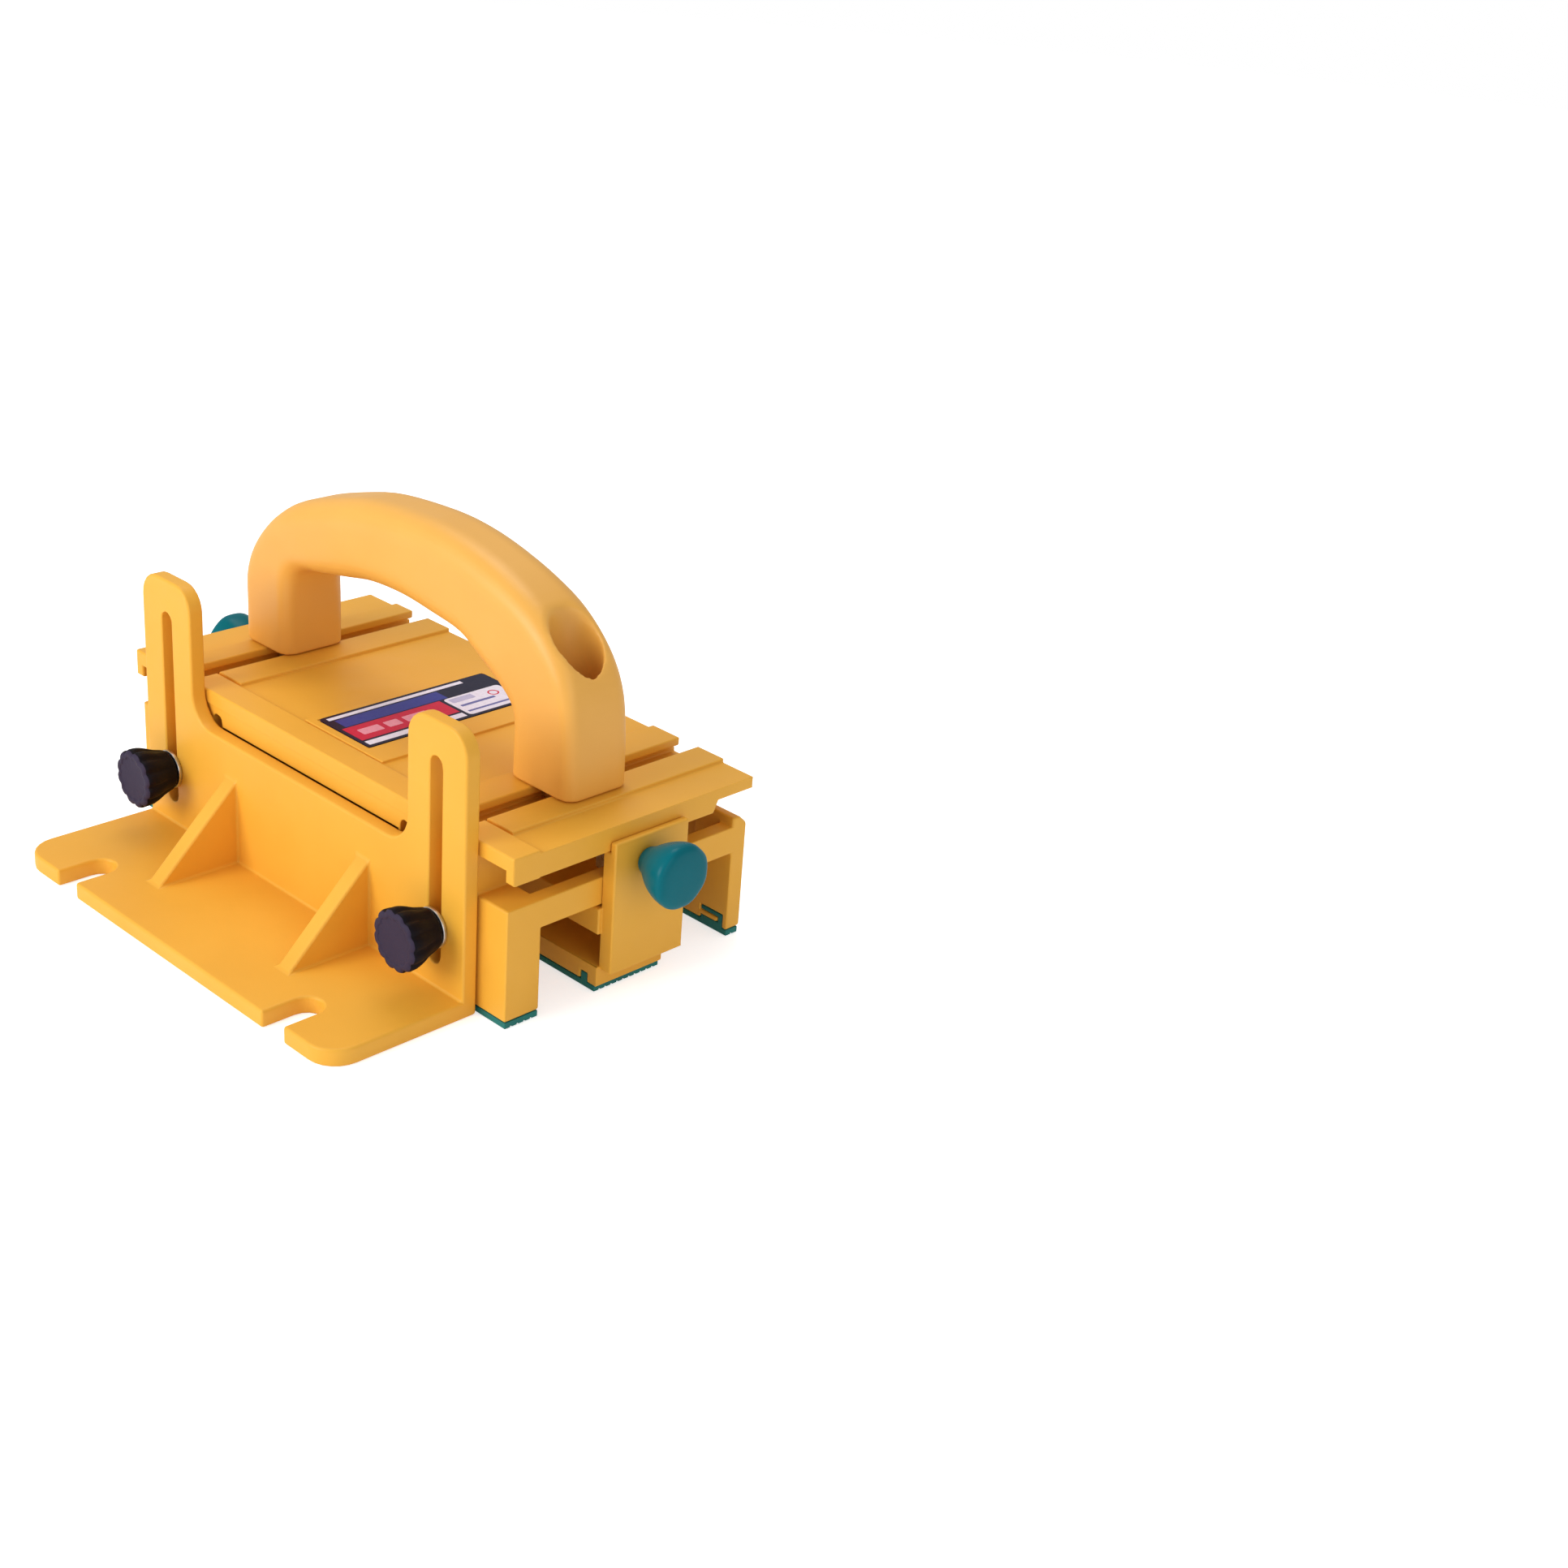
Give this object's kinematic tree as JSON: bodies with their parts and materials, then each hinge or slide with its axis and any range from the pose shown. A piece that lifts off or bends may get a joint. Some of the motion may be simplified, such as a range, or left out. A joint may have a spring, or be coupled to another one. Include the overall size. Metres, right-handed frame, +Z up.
{
  "type": "push block",
  "caption": "Adjustable push block with a sliding handle, a sliding centre leg and a clamped balance support.",
  "frame": {"origin": "middle of the whole object's footprint, on the table that the soles and the support's flange stand on", "axes": "+X along the feed direction, towards the handle's lower end; +Y across the block, away from the balance support; +Z up"},
  "size_m": [0.283, 0.182, 0.1508],
  "materials": {
    "yellow_plastic": "satin moulded plastic",
    "green_rubber": "soft moulded rubber",
    "green_plastic": "semi-gloss moulded plastic",
    "black_plastic": "satin moulded plastic",
    "zinc_steel": "zinc plated",
    "printed_label": "printed film"
  },
  "bodies": {
    "block": {"body_shell": "yellow_plastic", "label_sticker": "printed_label", "near_leg_sole": "green_rubber", "far_leg_sole": "green_rubber", "support_nut_front": "zinc_steel", "support_nut_rear": "zinc_steel", "support_washer_front": "zinc_steel", "support_washer_rear": "zinc_steel"},
    "support": {"balance_support": "yellow_plastic"},
    "support_knob_front_body": {"support_knob_front": "black_plastic", "support_stud_front": "zinc_steel"},
    "support_knob_rear_body": {"support_knob_rear": "black_plastic", "support_stud_rear": "zinc_steel"},
    "centre_leg": {"centre_leg_frame": "yellow_plastic", "centre_leg_sole": "green_rubber", "leg_clamp_plate_front": "zinc_steel", "leg_clamp_plate_rear": "zinc_steel"},
    "leg_knob_front_body": {"leg_knob_front": "green_plastic", "leg_stud_front": "zinc_steel"},
    "leg_knob_rear_body": {"leg_knob_rear": "green_plastic", "leg_stud_rear": "zinc_steel"},
    "handle": {"handle_grip": "yellow_plastic", "handle_bolt_front": "zinc_steel", "handle_bolt_rear": "zinc_steel", "handle_washer_front": "zinc_steel", "handle_washer_rear": "zinc_steel", "handle_nut_front": "zinc_steel", "handle_nut_rear": "zinc_steel"}
  },
  "joints": [
    {"name": "support_slide", "type": "slide", "parent": "block", "child": "support", "axis": [0, 0, 1], "range_m": [-0.062, 0.011]},
    {"name": "centre_leg_slide", "type": "slide", "parent": "block", "child": "centre_leg", "axis": [0, 1, 0], "range_m": [-0.025, 0.033]},
    {"name": "handle_slide", "type": "slide", "parent": "block", "child": "handle", "axis": [0, 1, 0], "range_m": [-0.038, 0.04]},
    {"name": "support_knob_front_turn", "type": "hinge", "parent": "block", "child": "support_knob_front_body", "pos_m": [0.0836, -0.0356, 0.0308], "axis": [0, -1, 0], "range_deg": [0, 540]},
    {"name": "support_knob_rear_turn", "type": "hinge", "parent": "block", "child": "support_knob_rear_body", "pos_m": [-0.0836, -0.0356, 0.0308], "axis": [0, -1, 0], "range_deg": [0, 540]},
    {"name": "leg_knob_front_turn", "type": "hinge", "parent": "centre_leg", "child": "leg_knob_front_body", "pos_m": [0.1213, 0.0332, 0.0522], "axis": [1, 0, 0], "range_deg": [0, 540]},
    {"name": "leg_knob_rear_turn", "type": "hinge", "parent": "centre_leg", "child": "leg_knob_rear_body", "pos_m": [-0.1213, 0.0332, 0.0522], "axis": [-1, 0, 0], "range_deg": [0, 540]}
  ]
}
